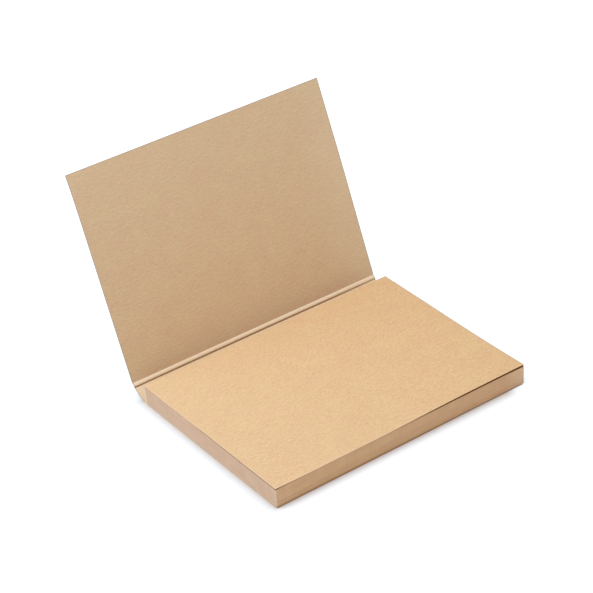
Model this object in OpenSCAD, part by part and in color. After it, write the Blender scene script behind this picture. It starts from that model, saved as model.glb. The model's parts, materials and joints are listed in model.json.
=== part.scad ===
// A note pad: a block of kraft paper sheets in a creased kraft card cover that stands open.
// The origin lies under the middle of the block, on the surface that the pad rests on.
// X runs along the spine, Y from the block's front edge to its glued edge, Z is up.
// The cover is one folded card, in three parts that turn at its two creases.

/* [Note block] */
// Length of the sheets, along the spine
block_w = 100; // [60:0.5:160]
// Depth of the sheets, from their glued edge to their front edge
block_d = 72; // [40:0.5:120]
// Thickness of the whole stack of sheets
block_t = 7; // [3:0.1:20]

/* [Cover card] */
// Thickness of the card
card_t = 0.4; // [0.2:0.05:1]
// How far the card passes the block at each end of the spine
side_lip = 0.3; // [0:0.1:3]
// How far the back cover and the closed front cover pass the block's front edge
front_lip = 0; // [0:0.1:3]

/* [Creases] */
// Clearance between the block's glued edge and the foot of the spine
spine_gap = 0.8; // [0.3:0.1:2]
// Clearance between the top sheet and the closed front cover
lid_gap = 0.5; // [0.2:0.1:2]
// Width of the narrow strip that the two upper creases leave along the spine
strip_w = 1.5; // [0.8:0.1:4]
// Angle by which that strip leans in from the spine
strip_bend = 17; // [5:1:40]

/* [Opening] */
// Lean of the spine away from the block, from upright
spine_lean = 56.5; // [40:0.5:75]
// Opening of the front cover, from closed on the block
cover_open = 112.4; // [90:0.1:140]

/* [Hidden] */

// Width of the card, and the front edge that the two covers share when closed
cover_w = block_w + 2 * side_lip;
front_y = -block_d / 2 - front_lip;

// The spine and its strip together reach from the back cover to the closed front cover
spine_l = block_t + lid_gap - strip_w * cos(strip_bend);
// The front cover reaches from the strip to the front edge when it lies closed
cover_l = block_d / 2 + spine_gap - strip_w * sin(strip_bend) - front_y;

// Slopes of the card above the horizontal, away from the block
spine_slope = 90 - spine_lean;
strip_slope = spine_slope + strip_bend;
cover_slope = 180 - cover_open;

// Places across the spine, as [y, z], of the inner face of each crease
foot = [block_d / 2 + spine_gap, card_t];
knee = foot + spine_l * along(spine_slope);
hinge = knee + strip_w * along(strip_slope);
// Depth of the slanted cut that lets the front cover fold back until it is flat
back_cut = card_t * tan(strip_bend);

// Direction up a slope, and the direction from the card's inner face to its outer one
function along(slope) = [cos(slope), sin(slope)];
function outward(slope) = [sin(slope), -cos(slope)];
// Outer corner of a bend between two slopes, a card's thickness from both inner faces
function outer_corner(inner, a, b) =
    inner + card_t * (outward(a) + outward(b)) / (1 + cos(b - a));

// A length of card with its section drawn across the spine
module card(section) {
    rotate([90, 0, 90]) linear_extrude(height = cover_w, center = true) polygon(section);
}

// The stack of sheets, held together along its glued edge
module note_block() {
    color("burlywood")
        translate([-block_w / 2, -block_d / 2, card_t])
            cube([block_w, block_d, block_t]);
}

// The part of the card that lies under the block, up to the lower crease
module back_cover() {
    color("tan")
        card([[front_y, 0], [foot[0], 0], foot, [front_y, card_t]]);
}

// The part of the card between the lower crease and the front cover's crease
module spine() {
    color("wheat")
        card([
            foot,
            foot + card_t * outward(spine_slope),
            outer_corner(knee, spine_slope, strip_slope),
            hinge + card_t * outward(strip_slope),
            hinge,
            knee
        ]);
}

// The part of the card that stands open
module front_cover() {
    color("tan")
        card([
            hinge,
            hinge + card_t * outward(cover_slope) + back_cut * along(cover_slope),
            hinge + card_t * outward(cover_slope) + cover_l * along(cover_slope),
            hinge + cover_l * along(cover_slope)
        ]);
}

note_block();
back_cover();
spine();
front_cover();
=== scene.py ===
# %% [markdown]
# # A kraft note pad, dressed around its CAD model
#
# The object is a small landscape note pad: a block of plain kraft sheets in a
# cover that is one creased kraft card. The cover stands open behind the block.
# The CAD model holds the sizes and the two hinges. This script gives the pad the
# look of the real one: a card that bends in one piece through its creases, a cut
# stack of sheets with a top sheet that lifts a little, and paper with fibres in it.
# Every length is in metres, in the CAD model's own frame.

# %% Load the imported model
import json
import math

import bpy
import numpy as np
from mathutils import Matrix, Vector


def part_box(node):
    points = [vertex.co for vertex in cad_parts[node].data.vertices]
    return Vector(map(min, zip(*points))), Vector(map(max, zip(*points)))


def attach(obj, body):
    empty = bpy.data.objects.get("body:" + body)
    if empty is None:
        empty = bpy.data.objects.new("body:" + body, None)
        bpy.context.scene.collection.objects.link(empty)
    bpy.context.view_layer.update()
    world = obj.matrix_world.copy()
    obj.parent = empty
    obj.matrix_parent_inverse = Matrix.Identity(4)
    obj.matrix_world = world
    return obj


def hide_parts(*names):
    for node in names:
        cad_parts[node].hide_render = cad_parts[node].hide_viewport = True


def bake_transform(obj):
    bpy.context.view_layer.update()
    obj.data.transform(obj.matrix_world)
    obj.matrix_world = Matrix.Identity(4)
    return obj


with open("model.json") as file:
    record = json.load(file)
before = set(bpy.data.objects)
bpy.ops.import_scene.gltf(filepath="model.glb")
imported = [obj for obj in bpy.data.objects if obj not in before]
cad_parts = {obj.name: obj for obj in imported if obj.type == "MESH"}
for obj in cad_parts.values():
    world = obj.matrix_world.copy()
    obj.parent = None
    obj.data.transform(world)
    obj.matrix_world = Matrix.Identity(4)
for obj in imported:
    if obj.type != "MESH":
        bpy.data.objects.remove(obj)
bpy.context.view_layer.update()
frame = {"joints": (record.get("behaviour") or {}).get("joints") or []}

MM = 0.001

# %% [markdown]
# ## Sizes that come from the frame
#
# A designer who dresses a model doesn't measure it again. The block's box, the
# card's thickness and the two hinge axes are read from the frame, so that each
# surface below lands where the CAD solid is. The lower limit of each hinge is the
# angle back to a flat card, so the limits also give the slopes at rest.

# %% Sizes of the block and the cover
block_low, block_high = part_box("note_block")
card_low, card_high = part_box("back_cover")
BLOCK_HALF_X = (block_high.x - block_low.x) / 2
CARD_HALF_X = (card_high.x - card_low.x) / 2
CARD_T = card_high.z - card_low.z
FRONT_Y = card_low.y

hinges = {joint["name"]: joint for joint in frame["joints"]}
foot = np.array(hinges["spine_crease"]["pos_m"][1:])
hinge = np.array(hinges["cover_crease"]["pos_m"][1:])
spine_slope = -math.radians(hinges["spine_crease"]["range_deg"][0])
cover_slope = spine_slope - math.radians(hinges["cover_crease"]["range_deg"][0])

# The strip between the two upper crease lines, as in the CAD model
STRIP_W = 1.5 * MM
STRIP_BEND = math.radians(17)
strip_slope = spine_slope + STRIP_BEND


def along(slope):
    """The unit direction [y, z] up a slope, away from the block."""
    return np.array([math.cos(slope), math.sin(slope)])


knee = hinge - STRIP_W * along(strip_slope)
SPINE_L = float(np.linalg.norm(knee - foot))
COVER_L = (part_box("front_cover")[1].z - hinge[1]) / math.sin(cover_slope)
print("spine and cover in mm:", round(SPINE_L / MM, 2), round(COVER_L / MM, 2))

# %% [markdown]
# ## The camera
#
# The photograph was taken with a long lens, from the front left and above. Its
# place was worked out from the block's corners and the cover's edges. A camera in
# Blender looks along its own -Z with +Y up, so the turn is built from the three
# directions right, up and back. The horizon is tipped by a few degrees, as there.

# %% Place the camera
CAMERA_PLACE = Vector((-335.3, -465.7, 406.5)) * MM
LOOK_AZIMUTH = math.radians(34.72)
LOOK_DOWN = math.radians(32.66)
LOOK_ROLL = math.radians(-3.72)
LENS_MM = 130.7
SENSOR_MM = 36


def camera_turn(azimuth, down, roll):
    """Rotation of a camera that looks azimuth from +Y towards +X, and down."""
    flat = math.cos(down)
    forward = Vector((math.sin(azimuth) * flat, math.cos(azimuth) * flat, -math.sin(down)))
    level = forward.cross(Vector((0, 0, 1))).normalized()
    upright = level.cross(forward)
    right = level * math.cos(roll) + upright * math.sin(roll)
    up = right.cross(forward)
    return Matrix((right, up, -forward)).transposed()


def link(name, data):
    """A new object for some data, at the origin of the scene."""
    made = bpy.data.objects.new(name, data)
    bpy.context.scene.collection.objects.link(made)
    return made


camera = link("camera", bpy.data.cameras.new("camera"))
camera.data.lens = LENS_MM
camera.data.sensor_width = SENSOR_MM
camera.data.clip_start = 0.01
camera.data.clip_end = 10
turn = camera_turn(LOOK_AZIMUTH, LOOK_DOWN, LOOK_ROLL)
camera.matrix_world = Matrix.Translation(CAMERA_PLACE) @ turn.to_4x4()
bpy.context.scene.camera = camera

# %% [markdown]
# ## Sheets with two faces
#
# Card and paper are thin solids. Each is worked out here as two grids of points,
# one for its upper face and one for its lower face, and the four edges between
# them are closed with rows of faces. A Solidify modifier could give the thickness
# too, but then the creases would be alike on both faces, and on real card they
# aren't: the creasing rule presses a groove into one face, and the other rises.
#
# Each mesh also carries its place in the flat sheet, which the paper's pattern
# follows round the bends, and three masks for the materials: pale where stretched
# fibres are lighter and where light is painted on, a dark mask where fibres are
# burnished and where shade is painted on, and cut at the knife's edge, which at the
# foot of the stack also holds painted light from the floor.

# %% A closed sheet from two grids
# The pale mask also holds painted light; the dark mask is burnish and painted shade.
MASKS = ("pale", "pressed", "cut")
SHARP_FROM = math.radians(35)


def mesh_piece(name, points, faces, place=None, masks=None):
    """An object from points and faces, with its flat place and masks as attributes."""
    mesh = bpy.data.meshes.new(name)
    mesh.from_pydata(points.tolist(), [], faces)
    flat = mesh.attributes.new("flat_place", "FLOAT_VECTOR", "POINT")
    flat.data.foreach_set("vector", (points if place is None else place).ravel())
    for mask in MASKS:
        values = (masks or {}).get(mask, np.zeros(len(points)))
        mesh.attributes.new(mask, "FLOAT", "POINT").data.foreach_set("value", values)
    mesh.update()
    print(name, "has", len(points), "points and", len(faces), "faces")
    return link(name, mesh)


def row_of_faces(lower, upper):
    """Faces between two equal rows of point numbers, with their outside on the right."""
    return np.stack([lower[:-1], lower[1:], upper[1:], upper[:-1]], axis=-1)


def closed_sheet(name, upper, lower, places, masks):
    """A closed sheet between two (m, n, 3) grids of points, smooth but for its edges.

    The upper grid's faces turn counter-clockwise seen from above and the lower
    grid's the other way, and a row of faces joins the two along each edge.
    """
    m, n = upper.shape[:2]
    top = np.arange(m * n).reshape(m, n)
    low = top + m * n
    face = np.stack([top[:-1, :-1], top[:-1, 1:], top[1:, 1:], top[1:, :-1]], axis=-1)
    face = face.reshape(-1, 4)
    edges = [
        row_of_faces(low[0], top[0]),
        row_of_faces(low[-1][::-1], top[-1][::-1]),
        row_of_faces(low[::-1, 0], top[::-1, 0]),
        row_of_faces(low[:, -1], top[:, -1]),
    ]
    points = np.concatenate([upper.reshape(-1, 3), lower.reshape(-1, 3)])
    place = np.concatenate([grid.reshape(-1, 3) for grid in places])
    faces = np.concatenate([face, face[:, ::-1] + m * n, *edges]).tolist()
    masks = {mask: np.concatenate([a.ravel(), b.ravel()]) for mask, (a, b) in masks.items()}
    piece = mesh_piece(name, points, faces, place, masks)
    piece.data.polygons.foreach_set("use_smooth", np.ones(len(faces), bool))
    piece.data.set_sharp_from_angle(angle=SHARP_FROM)
    return piece


# %% [markdown]
# ## Places along an edge
#
# A knife rounds the edge of a card a little. For a round edge the grid needs rows
# that crowd towards it, and so do the creases. These helpers choose the rows, and
# give the curves that the reliefs below are made of.

# %% Rows that crowd towards edges and creases
EDGE_ROUND = 0.3 * MM
ROUND_ROWS = 7
# Places of the rows behind a round end, and the place from which even rows follow,
# in roundings
BEHIND_ROUND = (1.7, 3)
EVEN_FROM = 3.5
LEAST_STEP = 0.002 * MM


def rows(low, high, step, crowded=(), reach=0.9 * MM, fine=0.04 * MM, ends=(True, True)):
    """Places from low to high: even, fine near the crowded places, round at the ends.

    Next to a round end they lie at 1 - cos of even turns up to a right angle, times
    the rounding, so that points on a quarter circle are evenly spread. Two more
    follow a little behind, where the masks of the edge end.
    """
    turns = np.linspace(0, math.pi / 2, ROUND_ROWS)
    near = EDGE_ROUND * np.concatenate([1 - np.cos(turns), BEHIND_ROUND])
    even = np.linspace(low, high, max(2, round((high - low) / step) + 1))
    places = np.concatenate([even] + [np.arange(c - reach, c + reach, fine) for c in crowded])
    clear = EVEN_FROM * EDGE_ROUND * np.array(ends)
    places = places[(places > low + clear[0]) & (places < high - clear[1])]
    if ends[0]:
        places = np.concatenate([low + near[1:], places])
    if ends[1]:
        places = np.concatenate([places, high - near[1:]])
    places = np.unique(places)
    places = places[np.diff(places, prepend=low) > LEAST_STEP]
    return np.concatenate([[low], places[places < high - LEAST_STEP], [high]])


def edge_share(distance, depth, least):
    """Share of its height that a face keeps at a distance from a cut edge.

    It follows a quarter circle, from least at the edge to 1 at the depth.
    """
    inside = np.clip(distance / depth, 0, 1)
    return least + (1 - least) * np.sqrt(1 - (1 - inside) ** 2)


def smooth_step(x):
    """0 below 0, 1 above 1, and 3x^2 - 2x^3 between."""
    x = np.clip(x, 0, 1)
    return x * x * (3 - 2 * x)


def bell(s, place, width):
    """1 at the place, falling off as exp(-x^2) over the width."""
    return np.exp(-(((s - place) / width) ** 2))


# %% [markdown]
# ## The cover card
#
# The cover's section is one line: flat under the block, up the spine, over the
# narrow strip and up the front cover. Its slope changes only at the creases, so
# the slope is the simple thing to describe: a sum of smooth steps along the card's
# length. Adding up cos and sin of the slope then gives the line itself.

# %% The line of the card's inner face
CREASE_W = 0.4 * MM
foot_s = foot[0] - FRONT_Y
knee_s = foot_s + SPINE_L
hinge_s = knee_s + STRIP_W
# The card is trimmed a little short of the CAD model's
TRIMMED = 0.2 * MM
free_s = hinge_s + COVER_L - TRIMMED


def card_slope(s):
    """Slope of the card at a length s from its front edge, in radians."""
    bends = ((foot_s, spine_slope), (knee_s, STRIP_BEND), (hinge_s, cover_slope - strip_slope))
    return sum(turn * smooth_step((s - place) / CREASE_W + 0.5) for place, turn in bends)


def card_line(s):
    """Points [y, z] of the inner face: the running sums of cos and sin of the slope."""
    fine = np.linspace(0, free_s, 40001)
    step = fine[1] - fine[0]
    middle_slope = card_slope(fine[:-1] + step / 2)
    y = FRONT_Y + np.concatenate([[0], np.cumsum(np.cos(middle_slope))]) * step
    z = CARD_T + np.concatenate([[0], np.cumsum(np.sin(middle_slope))]) * step
    return np.stack([np.interp(s, fine, y), np.interp(s, fine, z)], axis=-1)


print("hinge off by mm:", np.round((card_line(np.array([hinge_s]))[0] - hinge) / MM, 3))

# %% [markdown]
# ## Relief of the creases
#
# A crease is pressed before it is folded: one face gets a groove and the other a
# bead. On this cover the strip between the upper two lines is a soft bead that
# catches the light, and the line at its lower side is a deep groove, burnished and
# darkened further with painted shade. The rule was a hair out of square, so the
# strip drifts down towards the right. The strip is pale from stretched fibres and a
# painted highlight, the spine is paler, and so is the outside of each fold, where
# fibres stretch. Each part of the relief is one curve across the card.

# %% Relief and masks of the card
GROOVE_DEEP = 0.22 * MM
GROOVE_W = 0.23 * MM
groove_s = knee_s - 0.03 * MM
BEAD_HIGH = 0.21 * MM
CHANNEL_DEEP = 0.07 * MM
CHANNEL_W = 0.35 * MM
DRIFT = 0.13 * MM
# Share of the groove that fades at the right end, and where across that begins
GROOVE_FADES = 0.3
RIGHT_END = 0.6
MASK_EDGE = 0.5 * MM
# Width of the painted shade along the back cover's front edge
FRONT_SHADE_W = 0.8 * MM


def at_right_end(across):
    """0 up to the last fifth of the card's width, and a smooth step to 1 over it."""
    return smooth_step((across - RIGHT_END) / (1 - RIGHT_END))


def groove_left(across):
    """Share of the groove's depth that is left, where it fades at the right end."""
    return 1 - GROOVE_FADES * at_right_end(across)


def ruled(s, across):
    """Lengths s as a column, with the creasing rule's drift added over the right half."""
    return s[:, None] + DRIFT * smooth_step(across + 0.1)


def inner_relief(s, across):
    """Height of the inner face over its line: the strip's bead less the groove."""
    column = ruled(s, across)
    up_strip = np.clip((column - knee_s) / STRIP_W, 0, 1)
    groove = bell(column, groove_s, GROOVE_W) * groove_left(across)
    return BEAD_HIGH * np.sin(math.pi * up_strip) - GROOVE_DEEP * groove


def outer_relief(s):
    """Height of the outer face: a bead behind the groove, channels at the folds."""
    channels = bell(s, foot_s, CHANNEL_W) + bell(s, hinge_s, CHANNEL_W)
    return 0.5 * GROOVE_DEEP * bell(s, groove_s, 1.5 * GROOVE_W) - CHANNEL_DEEP * channels


def card_masks(s, across, distance):
    """The masks of the inner and outer faces, from the length and the edge distance.

    The strip is pale between its two lines, from stretched fibres and a painted
    highlight, and the spine is a little less pale. The front cover has painted shade
    above its crease and painted light towards its free edge and its right end. Under
    the block the left end has painted light, and the front edge has painted shade.
    """
    column = ruled(s, across)
    open_part = np.clip((column - hinge_s) / COVER_L, 0, 1)
    # Pale strip: stretched fibres and a painted highlight
    strip = smooth_step((column - knee_s) / (0.1 * MM))
    strip = strip * smooth_step((hinge_s - column) / (0.15 * MM) + 1)
    spine = 0.6 * smooth_step((column - foot_s) / MM + 1) * (column < knee_s)
    folds = sum(bell(column, place, 0.25 * MM) for place in (foot_s, knee_s, hinge_s))
    # Painted light at the back cover's left end, which also takes out its cut grey
    left_end = np.clip(1 - (1 + across) * CARD_HALF_X / MASK_EDGE, 0, 1) * (column < foot_s)
    cut = np.clip(1 - distance / MASK_EDGE, 0, 1) * (1 - left_end)
    # The groove is burnished and darkened further with painted shade
    groove = 0.9 * bell(column, groove_s, 1.05 * GROOVE_W) * groove_left(across)
    # Painted shade on the front cover, just above its crease
    shaded = 0.09 * smooth_step(1 - open_part / 0.6) * (column > hinge_s)
    to_right = at_right_end(across) * (column > hinge_s)
    # Painted light towards the cover's free edge and its right end
    painted_light_on_cover = np.maximum(0.09 * smooth_step(open_part / 0.5 - 1), 0.18 * to_right)
    # Painted shade along the back cover's front edge
    painted_front_shade = np.clip(1 - column / FRONT_SHADE_W, 0, 1)
    return {
        "pale": (strip + spine + painted_light_on_cover + left_end, 0.5 * folds + left_end),
        "pressed": (groove + shaded + painted_front_shade, painted_front_shade),
        "cut": (cut, cut),
    }


# %% [markdown]
# The two faces of a length of card follow. The inner face is the line plus its
# relief, and the outer face lies a card's thickness behind it. Both draw together
# at a cut edge, the outer one more, because the knife goes in from that side, but
# the part under the block is pressed flat and keeps a firmer edge. The back cover's
# edges lie a little inside the block's, which leaves a dark line at the foot of the
# pad, and the front cover stands out at both ends. No card stays quite flat: the
# front cover bows a little, and its left corner leans back.

# %% The faces of a length of card
RECESSED = 0.45 * MM
WIDER = 0.15 * MM
WIDENS_OVER = 3 * MM
BOW = 0.15 * MM
BOW_RIGHT = 0.35 * MM
LEAN_LEFT = 0.6 * MM


def card_bow(open_part, across):
    """How far the front cover's points lie before its plane, from -1 to 1 across.

    A square bow grows towards the free edge, the right side bows most at its
    middle, and a steep power bends the left corner back.
    """
    right = np.clip(across, 0, 1) ** 2
    left = np.clip(-across, 0, 1) ** 2
    bow = BOW * np.outer(open_part**2, across**2)
    bow += BOW_RIGHT * np.outer(bell(open_part, 0.55, 0.3) - bell(0, 0.55, 0.3), right)
    return bow - LEAN_LEFT * np.outer(open_part**10, left)


def card_faces(s, across, round_ends):
    """Inner and outer grids over lengths s and shares across, from -1 to 1.

    A third coordinate of the flat place tells the two faces apart.
    """
    line = card_line(s)
    slope = card_slope(s)
    normal = np.stack([-np.sin(slope), np.cos(slope)], axis=-1)
    half_x = BLOCK_HALF_X - RECESSED * smooth_step((foot_s - s) / MM)
    half_x = half_x + (CARD_HALF_X - BLOCK_HALF_X) * smooth_step((s - foot_s) / WIDENS_OVER)
    half_x = half_x + WIDER * smooth_step((s - knee_s) / WIDENS_OVER)
    distance = (1 - np.abs(across)) * CARD_HALF_X + 0 * s[:, None]
    if round_ends[0]:
        distance = np.minimum(distance, (s - s[0])[:, None])
    if round_ends[1]:
        distance = np.minimum(distance, (s[-1] - s)[:, None])
    open_part = np.clip((s - hinge_s) / COVER_L, 0, 1)
    bow = card_bow(open_part, across)
    half = CARD_T / 2
    inner_share = edge_share(distance, 0.4 * EDGE_ROUND, 0.55)
    firm = smooth_step((foot_s - s) / MM)[:, None]
    outer_share = edge_share(distance, EDGE_ROUND, 0.6 * firm - 0.15)
    inner = (half + inner_relief(s, across)) * inner_share + bow
    outer = -(half + outer_relief(s)[:, None]) * outer_share + bow
    x = np.outer(half_x, across)[..., None]
    s_grid = (s[:, None] + 0 * distance)[..., None]
    grids, places = [], []
    for height in (inner - half, outer - half):
        yz = line[:, None, :] + height[..., None] * normal[:, None, :]
        grids.append(np.concatenate([x, yz], axis=-1))
        places.append(np.concatenate([x, s_grid, 5 * height[..., None]], axis=-1))
    return grids, places, card_masks(s, across, distance)


def card_piece(name, low, high, creases, round_ends):
    """A length of the card as a closed sheet."""
    s = rows(low, high, 2.5 * MM, crowded=creases, ends=round_ends)
    across = rows(-CARD_HALF_X, CARD_HALF_X, 1.7 * MM) / CARD_HALF_X
    grids, places, masks = card_faces(s, across, round_ends)
    return closed_sheet(name, *grids, places, masks)


# %% [markdown]
# ## Two pieces
#
# A blend can cross one joint, and the card crosses two. So the card is made as two
# pieces that meet at the knee. Their end rows share the same points, so no line
# shows between them.

# %% Make the cover
cover_back = card_piece("cover_back", 0, knee_s, (foot_s, knee_s), (True, False))
cover_front = card_piece("cover_front", knee_s, free_s, (knee_s, hinge_s), (False, True))

# %% [markdown]
# ## The outline of a sheet
#
# The block is about 70 sheets, cut together with a guillotine. Every sheet has the
# same outline, a rectangle with slightly worn corners. It is given as points and
# their outward normals, so that a sheet can be pushed in or out all round. A pile of
# sheets slides a little under the knife, so the right side isn't quite square to the
# spine: one function gives what it is out by, for the stack and the top sheet alike.

# %% The outline of a sheet
SHEET_T = 0.1 * MM
SHEETS = round((block_high.z - block_low.z) / SHEET_T)
CORNER_R = 0.5 * MM
# How far out the right side is at the back, how far in front of the middle that
# begins, and the reach and the share of the front corner's own part
SKEW = 0.46 * MM
SKEW_FROM = 12 * MM
SKEW_CORNER = 14 * MM
STACK_CORNER_SHARE = 0.8
# Where the top sheet lifts and the stack under it sags: the reach from the front
# edge, and the place left of the middle and the width of the step along X
FRONT_REACH = 34 * MM
RIGHT_FROM = 11 * MM
RIGHT_OVER = 40 * MM


def sheet_outline(half_x, half_y, side_points=26, corner_points=5):
    """Points and outward normals around a rectangle with round corners.

    Each quarter is a corner arc and the side after it, turned a right angle on. The
    side's points crowd towards its ends, as (1 - cos) / 2 of even turns.
    """
    arc = np.linspace(0, math.pi / 2, corner_points)
    ways, corners = [], []
    for quarter in range(4):
        turned = arc + quarter * math.pi / 2
        way = np.stack([np.cos(turned), np.sin(turned)], axis=-1)
        sign = np.sign(way[corner_points // 2])
        ways.append(way)
        corners.append(sign * (np.array([half_x, half_y]) - CORNER_R) + CORNER_R * way)
    points, normals = [], []
    t = 0.5 - 0.5 * np.cos(np.linspace(0, math.pi, side_points + 2)[1:-1, None])
    for way, here, after in zip(ways, corners, corners[1:] + corners[:1]):
        points += [here, here[-1] + t * (after[0] - here[-1])]
        normals += [way, np.repeat(way[-1:], side_points, axis=0)]
    return np.concatenate(points), np.concatenate(normals)


def towards_front(y):
    """0 from the reach behind the front edge, growing as a square to 1 at the edge."""
    return np.clip(1 - (y - FRONT_Y) / FRONT_REACH, 0, 1) ** 2


def right_part(x):
    """0 a little left of the middle, 1 at the right, and a smooth step between."""
    return smooth_step((x + RIGHT_FROM) / RIGHT_OVER)


def skewed(x, y, at_front):
    """How far a sheet's right half reaches out in X, as the square of x.

    It grows evenly to SKEW at the back. At the front corner it is the given share.
    """
    back = np.clip((y + SKEW_FROM) / (block_high.y + SKEW_FROM), 0, 1)
    front = at_front * smooth_step((FRONT_Y + SKEW_CORNER - y) / SKEW_CORNER)
    return SKEW * (back + front) * np.clip(x / BLOCK_HALF_X, 0, 1) ** 2


# %% [markdown]
# ## The block of sheets
#
# The block's sides are flat from a step away, and up close each sheet ends a few
# hundredths of a millimetre in front of or behind its neighbour. The block is one
# closed skin: four rings of points for each sheet, moved by a shift and pushed by
# a slow wave of its own. Its top falls a little towards the front right corner,
# under the lifted sheet, and pressed sheets make the whole stack a little thinner
# than the CAD block. Its short, long and glued sides get their own materials,
# because the knife leaves them different, and the glued side has a film of padding
# glue that stands out by its thickness. The masks are pale and dim shares of each
# ring of points, by its height and its place: paler ends of the long sides, the
# glue film's paler colour, and painted light and painted shade.

# %% Make the block
RAGGED = 0.03 * MM
RECESS = 0.06 * MM
SAG = 0.2 * MM
PRESSED_FLAT = 0.18 * MM
GLUE_FILM = 0.25 * MM
GLUE_W = 0.9 * MM
END_W = 9 * MM
# Shares of the stack's height: the foot with painted light from the floor, the foot
# with painted shade, the part under its top that stays plain, and the last sheet
FOOT_FLOOR_LIT = 0.16
FOOT_DIM = 0.15
PLAIN_FROM = 0.96
LAST_SHEET = 0.985
random = np.random.default_rng(7)


def stack_masks(outline, normal, half_x, up):
    """The masks of the stack's rings, from the outline and each ring's share of height.

    The long sides are paler towards their ends, most at the right, and the short
    ones where the glue film ends, with a painted highlight on the film. The left
    corners have a painted highlight and the right ones painted shade. The short sides
    have painted light from the floor at the foot, and the front side painted shade
    there. All sides are a little darker towards the bottom. The last sheet has painted
    shade at the lifted corner.
    """
    short, front = np.abs(normal[:, 0]), np.clip(-normal[:, 1], 0, 1)
    right = outline[:, 0] > 0
    to_end = smooth_step((np.abs(outline[:, 0]) - half_x) / END_W + 1) * np.abs(normal[:, 1])
    corner = np.abs(2 * normal[:, 0] * normal[:, 1])
    glue = smooth_step((outline[:, 1] - outline[:, 1].max()) / GLUE_W + 1) * short
    # Painted light from the floor on the foot of the short sides, paler and greyer
    painted_floor_light = 0.3 * np.clip(1 - up / FOOT_FLOOR_LIT, 0, 1) * short
    # Paler ends of the long sides, and a painted highlight on the left corners
    pale_and_painted_light = np.where(right, 0.4 * to_end, 0.07 * to_end + 0.5 * corner)
    # The glue film is paler, with a painted highlight on it
    pale_and_painted_light = pale_and_painted_light + (1.2 - 0.4 * up) * glue + painted_floor_light
    # Painted shade: at the front side's foot, towards the bottom, on the right corners
    dim_foot = 0.25 * front * np.clip(1 - up / FOOT_DIM, 0, 1)
    dim = np.clip(0.06 * (1 - 2 * up) + dim_foot + 0.2 * corner * right, 0, 1)
    pale_and_painted_light = np.where(up > PLAIN_FROM, 0, pale_and_painted_light).ravel()
    # Painted shade on the last sheet at the lifted corner
    dim = np.where(up > LAST_SHEET, to_end * right, dim).ravel()
    return {"pale": pale_and_painted_light, "pressed": dim, "cut": painted_floor_light.ravel()}


def stack_of_sheets(name, low, high, sheets):
    """A stack between two corners as one closed skin.

    Sheet i is moved by a small random shift and pushed along its outline's normal
    by a sine of the place around the outline. Its rings lie at 0, 0.2, 0.8 and 1 of
    its thickness, the outer two drawn in a little, and the last sheet lies further
    in. The top face has a slot of its own, for the shade under the top sheet.
    """
    outline, normal = sheet_outline((high.x - low.x) / 2, (high.y - low.y) / 2)
    centre = np.array([(low.x + high.x) / 2, (low.y + high.y) / 2])
    around = np.arctan2(outline[:, 1], outline[:, 0])
    phase = random.uniform(0, 2 * math.pi, (sheets, 1))
    shift = random.normal(0, 0.6 * RAGGED, (sheets, 1, 2))
    wave = 0.5 * RAGGED * np.sin(3 * around + phase)
    ring = centre + outline + shift + wave[..., None] * normal
    ring[..., 0] += skewed(ring[..., 0], ring[..., 1], STACK_CORNER_SHARE)
    drawn = 0.35 * RAGGED * np.array([-1, 0, 0, -1])
    drawn = np.tile(drawn, (sheets, 1))
    drawn[-1] -= RECESS
    xy = ring[:, None] + drawn[..., None, None] * normal
    level = (np.arange(sheets)[:, None] + np.array([0, 0.2, 0.8, 1])) / sheets
    to_right = np.clip(xy[..., 0] / BLOCK_HALF_X, 0, 1) ** 2
    sag = SAG * towards_front(xy[..., 1]) * (0.3 + 0.7 * to_right)
    fall = 1 - sag / (high.z - low.z)
    z = low.z + (high.z - low.z) * level[..., None] * fall
    points = np.concatenate([xy, z[..., None]], axis=-1).reshape(-1, 3)
    index = np.arange(len(points)).reshape(-1, len(outline))
    wrapped = np.concatenate([index, index[:, :1]], axis=1).T
    sides = row_of_faces(wrapped[:, :-1], wrapped[:, 1:])
    faces = sides.reshape(-1, 4).tolist() + [index[0, ::-1].tolist(), index[-1].tolist()]
    masks = stack_masks(outline, normal, high.x, level.reshape(-1, 1))
    piece = mesh_piece(name, points, faces, masks=masks)
    short = np.abs(normal[:, 0]) > np.abs(normal[:, 1])
    side = np.where(short, 0, np.where(normal[:, 1] < 0, 1, 2))
    slots = np.concatenate([np.repeat(side, len(index) - 1), [1, 3]])
    for material_number in range(4):
        piece.data.materials.append(None)
    piece.data.polygons.foreach_set("material_index", slots.astype(np.int32))
    return piece


stack_top = block_high.z - SHEET_T - PRESSED_FLAT
stack_high = Vector((block_high.x, block_high.y + GLUE_FILM, stack_top))
sheet_stack = stack_of_sheets("sheet_stack", block_low, stack_high, SHEETS - 1)

# %% [markdown]
# ## The top sheet
#
# The sheets are held along their back edge only, so the top one lifts at the
# front. A dark line shows under it that widens to the right-hand corner, and a
# thinner one under the front half of its left edge. The lift is a sum of smooth
# curves: the front right corner, the front half of the left edge, a hair all round
# where the edges curl, and the slight ripple of paper that was handled.

# %% Make the top sheet
CORNER_LIFT = 0.43 * MM
LEFT_LIFT = 0.28 * MM
LEFT_LIFT_W = 7 * MM
LEFT_LIFT_FROM = 12 * MM
LEFT_LIFT_OVER = 10 * MM
CURL = 0.05 * MM
CURL_W = 2.5 * MM
HELD_W = 20 * MM
RIPPLE = 0.015 * MM
OVERHANG = 0.04 * MM
JUST_CLEAR = 0.004 * MM
SHEET_STEP = 1.2 * MM
RIM_W = 0.6 * MM
LEFT_CUT_W = 0.12 * MM
RIGHT_CUT_W = 0.45 * MM
DIM_RIM_W = 0.1 * MM
DIM_FROM_RIGHT = 3 * MM
DIM_OVER = 6 * MM


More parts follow.
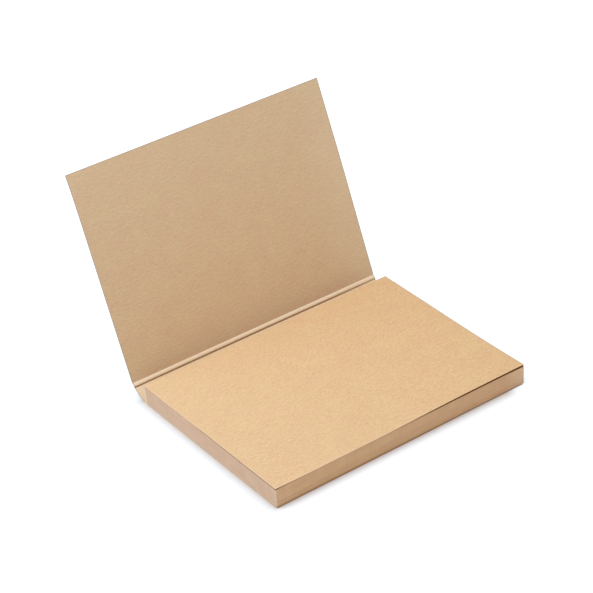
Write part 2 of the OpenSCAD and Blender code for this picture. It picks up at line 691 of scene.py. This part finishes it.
def sheet_lift(x, y):
    """Height of the top sheet's lower face over the top of the flattened stack.

    The left edge's part falls off as exp(-x) from the edge. The ripple is a product
    of two sines along the front edge, and it and the curl die out where the glue
    holds the sheet.
    """
    from_left = x + BLOCK_HALF_X
    from_side = np.minimum(from_left, BLOCK_HALF_X - x)
    left = np.exp(-from_left / LEFT_LIFT_W) * smooth_step((LEFT_LIFT_FROM - y) / LEFT_LIFT_OVER)
    front_edge = np.exp(-(y - FRONT_Y) / CURL_W)
    free = np.clip((block_high.y - y) / HELD_W, 0, 1)
    ripple = RIPPLE * (1 + np.sin(x / (9 * MM)) * np.sin(1 + x / (23 * MM))) * front_edge
    curl = CURL * np.maximum(front_edge, np.exp(-from_side / CURL_W))
    corner = CORNER_LIFT * right_part(x) * towards_front(y)
    return corner + LEFT_LIFT * left + (curl + ripple) * free


def paper_sheet(name):
    """The sheet over the stack: the lift, and a sheet's thickness above it.

    It is palest at the left, a painted light that fades to the right, and along its
    left rim and the left part of its front rim. The right part of the front rim has
    painted shade, but for the corner, and the lower face has painted shade all over.
    """
    x = rows(-BLOCK_HALF_X - OVERHANG, BLOCK_HALF_X + 3 * OVERHANG, SHEET_STEP)
    y = rows(block_low.y - OVERHANG, block_high.y + GLUE_FILM, SHEET_STEP)
    grid_x, grid_y = np.meshgrid(x, y)
    low = stack_top + sheet_lift(grid_x, grid_y)
    place_x = grid_x + skewed(grid_x, grid_y, 0)
    upper = np.stack([place_x, grid_y, low + SHEET_T], axis=-1)
    lower = np.stack([place_x, grid_y, low + JUST_CLEAR], axis=-1)
    from_left, from_right, from_front = grid_x - x[0], x[-1] - grid_x, grid_y - y[0]
    left_rim = np.clip(1 - from_left / RIM_W, 0, 1)
    front_rim = np.clip(1 - from_front / RIM_W, 0, 1) * (1 - right_part(grid_x))
    # Painted light, from the left to nothing at the right, and pale rims
    pale = 0.12 * (0.5 - grid_x / (2 * BLOCK_HALF_X)) + 0.3 * np.maximum(left_rim, front_rim)
    cut = np.clip(1 - np.minimum(from_left / LEFT_CUT_W, from_right / RIGHT_CUT_W), 0, 1)
    # Painted shade on the right part of the front rim
    dim = 0.7 * np.clip(1 - from_front / DIM_RIM_W, 0, 1) * right_part(grid_x)
    dim = dim * np.clip((from_right - DIM_FROM_RIGHT) / DIM_OVER, 0, 1)
    # The lower face is dark all over: painted shade under the lifted sheet
    masks = {"pale": (pale, 0 * pale), "cut": (cut, cut), "pressed": (dim, 0 * dim + 1)}
    return closed_sheet(name, upper, lower, (upper, lower), masks)


top_sheet = paper_sheet("top_sheet")

# %% [markdown]
# ## Small helpers for shader nodes
#
# A material is a little graph of nodes. Writing it in code is easier to read when
# each line makes one node and links it, so these helpers do that.

# %% Node helpers


def put(tree, socket, value):
    """Links a socket into a node's socket, or sets a number or colour on it."""
    if isinstance(value, bpy.types.NodeSocket):
        tree.links.new(value, socket)
    else:
        socket.default_value = value


def add_node(tree, kind, **values):
    """A node with its properties and, by socket name, its input values or links."""
    node = tree.nodes.new(kind)
    for name, value in values.items():
        if name in node.inputs:
            put(tree, node.inputs[name], value)
        else:
            setattr(node, name, value)
    return node


def noise(tree, vector, size, detail=2.0, roughness=0.5, distortion=0.0):
    """A noise around 0.5 whose features are about size metres across."""
    values = {"Scale": 1 / size, "Detail": detail, "Roughness": roughness}
    node = add_node(tree, "ShaderNodeTexNoise", Vector=vector, Distortion=distortion, **values)
    return node.outputs["Fac"]


def drawn_out(tree, vector, scale, rotation=(0, 0, 0)):
    """Coordinates in which a pattern is drawn out by a scale, then turned."""
    values = {"Vector": vector, "Rotation": rotation, "Scale": scale}
    return add_node(tree, "ShaderNodeMapping", vector_type="TEXTURE", **values).outputs["Vector"]


def maths(tree, operation, *values, clamp=False):
    """One Math node; each value is a socket or a number."""
    node = add_node(tree, "ShaderNodeMath", operation=operation, use_clamp=clamp)
    for socket, value in zip(node.inputs, values):
        put(tree, socket, value)
    return node.outputs[0]


def weighted_sum(tree, middle, *parts):
    """middle + the sum of weight * (value - 0.5) over (value, weight) parts."""
    total = middle - 0.5 * sum(weight for _, weight in parts)
    for value, weight in parts:
        total = maths(tree, "MULTIPLY_ADD", value, weight, total)
    return total


def mixed(tree, factor, a, b):
    """A colour mixed from a to b; each is a socket or a colour."""
    node = add_node(tree, "ShaderNodeMix", data_type="RGBA")
    sockets = {socket.identifier: socket for socket in node.inputs}
    for name, value in (("Factor_Float", factor), ("A_Color", a), ("B_Color", b)):
        put(tree, sockets[name], value)
    return next(socket for socket in node.outputs if socket.identifier == "Result_Color")


def srgb(r, g, b):
    """The linear colour of 0 to 255 screen values, with alpha."""
    shown = np.array([r, g, b]) / 255
    linear = np.where(shown <= 0.04045, shown / 12.92, ((shown + 0.055) / 1.055) ** 2.4)
    return (*linear.tolist(), 1.0)


# %% [markdown]
# ## Kraft fibres as a node group
#
# Kraft paper is unbleached pulp. Its colour is even from far away, and close up it
# is a felt of darker and lighter fibres in faint clouds. The fibres lie mostly
# along the machine that made it, which here runs along the spine. Both papers
# share the effect, so it is one node group. It reads a place in metres, mixes
# noises that are drawn out along X, and gives a shade around 0.5, sparse dark
# flecks and a height for the bump. The coarsest fibres stand up like threads. Their
# shade is a noise less the same noise a little further on, so that each thread has a
# light side and a dark side.

# %% The fibre group
NUMBER = "NodeSocketFloat"
COLOUR = "NodeSocketColor"
VECTOR = "NodeSocketVector"
THREAD_W = 0.7 * MM
THREAD_STEP = 0.6 * MM
FLECKS_FROM = 0.68
FLECKS_STEEP = 9.0


def new_group(name, inputs, outputs):
    """An empty shader group with named sockets, and its two end nodes."""
    group = bpy.data.node_groups.new(name, "ShaderNodeTree")
    for socket, kind, value in inputs:
        made = group.interface.new_socket(socket, in_out="INPUT", socket_type=kind)
        if value is not None:
            made.default_value = value
    for socket, kind in outputs:
        group.interface.new_socket(socket, in_out="OUTPUT", socket_type=kind)
    return group, group.nodes.new("NodeGroupInput"), group.nodes.new("NodeGroupOutput")


def fibre_group():
    """Kraft fibres: Vector, Grain and Threads in; Shade, Flecks and Height out."""
    inputs = [("Vector", VECTOR, None), ("Grain", NUMBER, 1.0), ("Threads", NUMBER, 0.3)]
    outputs = [("Shade", NUMBER), ("Flecks", NUMBER), ("Height", NUMBER)]
    group, start, end = new_group("Kraft fibres", inputs, outputs)
    vector = start.outputs["Vector"]
    along_x = drawn_out(group, vector, (4, 1, 1), (0, 0, 0.08))
    leaning = drawn_out(group, vector, (3, 1, 1), (0, 0, 0.5))
    crossing = drawn_out(group, vector, (3, 1, 1), (0, 0, -0.45))
    felt = noise(group, vector, 0.34 * MM, detail=3, roughness=0.7)
    main = noise(group, along_x, 0.30 * MM, detail=3, roughness=0.6, distortion=0.8)
    left = noise(group, leaning, 0.26 * MM, detail=2, roughness=0.6, distortion=0.8)
    right = noise(group, crossing, 0.30 * MM, detail=2, roughness=0.6, distortion=0.8)
    soft = drawn_out(group, vector, (2, 1, 1), (0, 0, 0.05))
    beside = add_node(group, "ShaderNodeVectorMath", operation="ADD")
    put(group, beside.inputs[0], soft)
    beside.inputs[1].default_value = (0, THREAD_STEP, 0)
    threads = noise(group, soft, THREAD_W, detail=0)
    hollows = noise(group, beside.outputs["Vector"], THREAD_W, detail=0)
    clouds = noise(group, vector, 2.2 * MM, detail=2, roughness=0.6)
    patches = noise(group, vector, 12 * MM, detail=1)
    grain = weighted_sum(group, 0.0, (felt, 0.8), (main, 1.1), (left, 0.6), (right, 0.6))
    wide = weighted_sum(group, 0.5, (clouds, 0.12), (patches, 0.08))
    shade = maths(group, "MULTIPLY_ADD", grain, start.outputs["Grain"], wide)
    threads = weighted_sum(group, 0.0, (threads, 1.0), (hollows, -1.0))
    shade = maths(group, "MULTIPLY_ADD", threads, start.outputs["Threads"], shade)
    stray = noise(group, crossing, 0.5 * MM, detail=1, distortion=1.5)
    over = -FLECKS_FROM * FLECKS_STEEP
    flecks = maths(group, "MULTIPLY_ADD", stray, FLECKS_STEEP, over, clamp=True)
    height = weighted_sum(group, 0.5, (main, 0.5), (left, 0.3), (felt, 0.4))
    for name, value in (("Shade", shade), ("Flecks", flecks), ("Height", height)):
        put(group, end.inputs[name], value)
    return group


kraft_fibres = fibre_group()

# %% [markdown]
# ## Wear, creases and painted light as a second group
#
# The three masks of the meshes change the colour in the same way on paper and on
# card: pale fibres on a fold and painted light, burnished fibres in a groove and
# painted shade, and greyer ends of fibres at a cut. So this is a group too, which
# takes the plain kraft colour and the masks, and gives the colour to show.

# %% The wear group


def wear_and_painted_light_group():
    """The wear and painted light of kraft: a colour, its place and the masks in, the changed colour
    out.
    """
    inputs = [("Colour", COLOUR, None), ("Vector", VECTOR, None)]
    inputs += [(mask.capitalize(), NUMBER, 0.0) for mask in MASKS]
    group, start, end = new_group("Kraft wear and painted light", inputs, [("Colour", COLOUR)])
    given = start.outputs
    uneven = noise(group, given["Vector"], 0.6 * MM, detail=2)
    uneven = maths(group, "MULTIPLY_ADD", uneven, 0.5, 0.75)
    # Pale colour: stretched fibres, glue and painted light
    pale = maths(group, "MULTIPLY", given["Pale"], uneven, clamp=True)
    colour = mixed(group, pale, given["Colour"], srgb(255, 236, 205))
    # Grey of cut fibres, and painted floor light at the stack's foot
    colour = mixed(group, given["Cut"], colour, srgb(199, 184, 169))
    # Dark colour: burnish in the groove, painted shade elsewhere
    pressed = maths(group, "MULTIPLY", given["Pressed"], uneven, clamp=True)
    colour = mixed(group, pressed, colour, srgb(156, 108, 58))
    put(group, end.inputs["Colour"], colour)
    return group


kraft_wear_and_painted_light = wear_and_painted_light_group()

# %% [markdown]
# ## The paper and the card
#
# The sheets and the card are the same kind of kraft, the card a little paler and
# greyer. Each material turns the shade into a colour between a darker and a
# lighter tone, adds the flecks, very slightly rosier and yellower patches, the
# wear and the painted light and shade of the masks, and turns the height into a
# very shallow bump. Uncoated paper has no gloss, so it is rough.

# %% Materials for the faces of paper and card
HUE_PATCH = 7 * MM
HUE_RANGE = 0.03


def principled(name, roughness, specular):
    """A new material and its Principled BSDF, with plain values on its sockets."""
    material = bpy.data.materials.new(name)
    material.use_nodes = True
    shader = material.node_tree.nodes["Principled BSDF"]
    shader.inputs["Roughness"].default_value = roughness
    shader.inputs["Specular IOR Level"].default_value = specular
    return material, shader


def two_tones(tree, shade, dark, light, low=0.2, high=0.8):
    """A colour ramp from dark to light between two shades."""
    ramp = add_node(tree, "ShaderNodeValToRGB", Fac=shade)
    for element, place, colour in zip(ramp.color_ramp.elements, (low, high), (dark, light)):
        element.position = place
        element.color = colour
    return ramp.outputs["Color"]


def bump(tree, height, strength, distance):
    """A Bump node's normal for a height in the range 0 to 1."""
    node = add_node(tree, "ShaderNodeBump", Strength=strength, Distance=distance, Height=height)
    return node.outputs["Normal"]


def attribute(tree, name, output="Fac"):
    """A point attribute of the mesh, as a number or a vector."""
    return add_node(tree, "ShaderNodeAttribute", attribute_name=name).outputs[output]


def with_wear_and_painted_light(tree, colour, place):
    """The colour changed by the group of wear and painted light, and the mesh's masks."""
    masks = {mask.capitalize(): attribute(tree, mask) for mask in MASKS}
    values = {"Colour": colour, "Vector": place, **masks}
    node = add_node(tree, "ShaderNodeGroup", node_tree=kraft_wear_and_painted_light, **values)
    return node.outputs["Colour"]


def kraft_material(name, dark, light, grain, threads):
    """Uncoated kraft: fibres as colour and bump, changed by the mesh's masks."""
    material, shader = principled(name, 0.92, 0.15)
    tree = material.node_tree
    place = attribute(tree, "flat_place", "Vector")
    values = {"Vector": place, "Grain": grain, "Threads": threads}
    fibres = add_node(tree, "ShaderNodeGroup", node_tree=kraft_fibres, **values).outputs
    colour = two_tones(tree, fibres["Shade"], dark, light)
    flecks = maths(tree, "MULTIPLY", fibres["Flecks"], 0.5 * grain)
    colour = mixed(tree, flecks, colour, srgb(170, 128, 88))
    hue = weighted_sum(tree, 0.5, (noise(tree, place, HUE_PATCH, detail=2), HUE_RANGE))
    colour = add_node(tree, "ShaderNodeHueSaturation", Hue=hue, Color=colour).outputs["Color"]
    put(tree, shader.inputs["Base Color"], with_wear_and_painted_light(tree, colour, place))
    put(tree, shader.inputs["Normal"], bump(tree, fibres["Height"], 0.4, 0.03 * MM))
    return material


paper_face = kraft_material("kraft_paper_face", srgb(217, 173, 125), srgb(248, 212, 167), 0.66, 0.14)
card_face = kraft_material("kraft_card_face", srgb(214, 180, 143), srgb(245, 215, 177), 0.44, 0.17)

# %% [markdown]
# ## The cut edges of the stack
#
# A guillotined stack shows its sheets as fine level lines, and the knife leaves
# faint upright marks across them. Both are noises that are drawn out a long way in
# one direction. Across the machine direction the knife cuts the fibres' ends, so
# the short sides are greyer than the long ones. The glued side has a thin film of
# padding glue over it and is a little smoother.

# %% Materials for the block's sides


def edge_material(name, dark, light, roughness=0.95):
    """Cut paper edges: level lines for the sheets and upright knife marks."""
    material, shader = principled(name, roughness, 0.1)
    tree = material.node_tree
    place = attribute(tree, "flat_place", "Vector")
    level = noise(tree, drawn_out(tree, place, (60, 60, 1)), 0.12 * MM, detail=2, roughness=0.7)
    marks = noise(tree, drawn_out(tree, place, (1, 1, 30)), 0.5 * MM, detail=3, roughness=0.6)
    patches = noise(tree, place, 4 * MM, detail=2)
    shade = weighted_sum(tree, 0.5, (level, 0.5), (marks, 0.3), (patches, 0.25))
    colour = with_wear_and_painted_light(tree, two_tones(tree, shade, dark, light), place)
    put(tree, shader.inputs["Base Color"], colour)
    put(tree, shader.inputs["Normal"], bump(tree, level, 0.4, 0.03 * MM))
    return material


short_side = edge_material("cut_edges_short_side", srgb(203, 171, 145), srgb(239, 207, 181))
long_side = edge_material("cut_edges_long_side", srgb(215, 175, 135), srgb(250, 211, 171))
# The stack's top face is dark: painted shade under the top sheet
shaded_top = edge_material("shade_under_the_top_sheet", srgb(130, 52, 4), srgb(158, 68, 10))
glued_side = edge_material("cut_edges_glued_side", srgb(206, 168, 132), srgb(230, 194, 156), 0.5)

# %% Dress the pieces and tie the block's pieces to the pad


def dress(piece, slot, *materials):
    """Gives a piece its materials. The slot is not used."""
    piece.data.materials.clear()
    for material in materials:
        piece.data.materials.append(material)


dress(cover_back, "kraft_card", card_face)
dress(cover_front, "kraft_card", card_face)
dress(top_sheet, "kraft_paper", paper_face)
for number, material in enumerate((short_side, long_side, glued_side, shaded_top)):
    sheet_stack.data.materials[number] = material

BLEND_REACH = 0.5 * MM


def crossing(place, slope_before, slope_after):
    """Two points [x, y, z] on the card, a reach before and after a crease."""
    before = place - BLEND_REACH * along(slope_before)
    after = place + BLEND_REACH * along(slope_after)
    return (0, *before), (0, *after)


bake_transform(cover_back)
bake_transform(cover_front)
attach(sheet_stack, "pad")
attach(top_sheet, "pad")
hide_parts("back_cover", "spine")
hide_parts("front_cover")
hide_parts("note_block")

# %% [markdown]
# ## Floor
#
# The pad lies on a white sweep. The floor reflects the lamps like matt white
# paper. For the camera it also has some light of its own, so that it reaches
# white, and only the narrow shadow at the foot of the pad stays below it. Close to
# the pad's foot the floor's colour is a little darker and warmer: painted shade,
# with the kraft's light painted into it. Its own light grows with the distance from
# a rectangle that lies further out on the left than in front, because the shadow
# there is softer, and that stops short of the right end, where the shadow thins
# out, so the glow also paints the shape of the shadow. Far out, where the lamps are
# weaker, the floor's own light takes over.

# %% Make the floor
FLOOR_HALF = 3.0
FLOOR_WHITE = (0.8, 0.8, 0.8, 1)
SEEN_WHITE = (0.90, 0.94, 1.0, 1)
# Painted shade, darker and warmer, at the pad's foot
SEEN_AT_FOOT = (0.84, 0.80, 0.78, 1)
NO_GLOW = (0, 0, 0, 1)
NEAR_GLOW = (0.40, 0.45, 0.50, 1)
FAR_GLOW = (1, 1, 1, 1)
FOOT_LEFT = 0.4 * MM
FOOT_RIGHT = 7.5 * MM
FOOT_BACK = 2 * MM
FOOT_W = 2 * MM
SHADE_LEFT = 0.5 * MM
SHADE_FRONT = 2.7 * MM
SHADE_W = 10 * MM
FAR_FROM = 80 * MM
FAR_TO = 500 * MM


def seen_directly(tree):
    """1 for camera, glossy and transmission rays, else 0."""
    rays = add_node(tree, "ShaderNodeLightPath").outputs
    seen = maths(tree, "MAXIMUM", rays["Is Camera Ray"], rays["Is Glossy Ray"])
    return maths(tree, "MAXIMUM", seen, rays["Is Transmission Ray"])


def distance_outside(tree, left, right, front, back):
    """How far a point of the floor lies outside a rectangle, in metres.

    It is the length of what is left of |x| and |y|, counted from the rectangle's
    centre, after half its size. The part along X counts twice.
    """
    vector = add_node(tree, "ShaderNodeTexCoord").outputs["Object"]
    for operation, value in (
        ("SUBTRACT", ((left + right) / 2, (front + back) / 2, 0)),
        ("ABSOLUTE", (0, 0, 0)),
        ("SUBTRACT", ((right - left) / 2, (back - front) / 2, 0)),
        ("MAXIMUM", (0, 0, 0)),
        ("MULTIPLY", (2, 1, 0)),
    ):
        node = add_node(tree, "ShaderNodeVectorMath", operation=operation)
        put(tree, node.inputs[0], vector)
        node.inputs[1].default_value = value
        vector = node.outputs["Vector"]
    length = add_node(tree, "ShaderNodeVectorMath", operation="LENGTH")
    put(tree, length.inputs[0], vector)
    return length.outputs["Value"]


def smooth_range(tree, value, start, end):
    """0 up to the start, 1 from the end on, and a smooth step between."""
    values = {"Value": value, "From Min": start, "From Max": end}
    node = add_node(tree, "ShaderNodeMapRange", interpolation_type="SMOOTHSTEP", **values)
    return node.outputs["Result"]


def floor_material():
    """Matt white, with light of its own for camera, glossy and transmission rays."""
    material, shader = principled("floor", 1.0, 0.0)
    tree = material.node_tree
    seen = seen_directly(tree)
    left, right = -BLOCK_HALF_X - FOOT_LEFT, BLOCK_HALF_X - FOOT_RIGHT
    back = block_high.y + FOOT_BACK
    away = distance_outside(tree, left, right, FRONT_Y, back)
    # Painted shade near the pad's foot, fading out to the seen white
    white = mixed(tree, smooth_range(tree, away, 0, FOOT_W), SEEN_AT_FOOT, SEEN_WHITE)
    put(tree, shader.inputs["Base Color"], mixed(tree, seen, FLOOR_WHITE, white))
    # The glow, lower near the pad, paints the shape of the shadow
    shade = distance_outside(tree, left - SHADE_LEFT, right, FRONT_Y + SHADE_FRONT, back)
    glow = mixed(tree, smooth_range(tree, shade, 0, SHADE_W), NO_GLOW, NEAR_GLOW)
    glow = mixed(tree, smooth_range(tree, away, FAR_FROM, FAR_TO), glow, FAR_GLOW)
    put(tree, shader.inputs["Emission Color"], glow)
    put(tree, shader.inputs["Emission Strength"], seen)
    return material


corners = np.array([[-1, -1, 0], [1, -1, 0], [1, 1, 0], [-1, 1, 0]]) * FLOOR_HALF
floor_mesh = bpy.data.meshes.new("floor")
floor_mesh.from_pydata(corners.tolist(), [], [(0, 1, 2, 3)])
floor_mesh.materials.append(floor_material())
link("floor", floor_mesh)

# %% [markdown]
# ## Light
#
# A white tent would light the pad evenly from above. In the photograph the top is
# brightest, the left side is a little cooler and darker, and the front side is
# darkest. So the light is a soft, slightly warm sky, a lamp almost overhead, and a
# near, slightly cool lamp from the back left. The three add up to about 1 on a level
# surface, so that a colour renders about as it is written.

# %% Lamps and sky
SKY_LEVEL = 0.565


def soft_lamp(name, direction, distance, size, level, colour):
    """A square area lamp that lights a surface that faces it to about level.

    A square lamp of power P lights a facing surface at distance d with P / (pi d^2)
    when d is a good deal more than its side. Divided by pi again, that is the
    brightness of a white surface.
    """
    lamp = link(name, bpy.data.lights.new(name, "AREA"))
    lamp.data.shape = "SQUARE"
    lamp.data.size = size
    lamp.data.color = colour
    lamp.data.energy = level * math.pi**2 * distance**2
    way = Vector(direction).normalized()
    lamp.location = way * distance
    lamp.rotation_euler = way.to_track_quat("Z", "Y").to_euler()
    lamp.visible_camera = False


soft_lamp("overhead", (-0.35, 0.05, 0.95), 0.8, 0.5, 0.32, (1.0, 0.97, 0.93))
soft_lamp("back_left", (-0.75, 0.45, 0.80), 0.6, 0.4, 0.307, (0.66, 0.86, 1.06))

world = bpy.data.worlds.new("world")
bpy.context.scene.world = world
world.use_nodes = True
sky_tree = world.node_tree
sky = (SKY_LEVEL, 0.98 * SKY_LEVEL, 0.95 * SKY_LEVEL, 1)
sky = mixed(sky_tree, seen_directly(sky_tree), sky, (1, 1, 1, 1))
put(sky_tree, sky_tree.nodes["Background"].inputs["Color"], sky)

# %% [markdown]
# ## Finish
#
# The colours are shown as they are written, so the view transform is Standard.

# %% View settings
bpy.context.scene.view_settings.view_transform = "Standard"
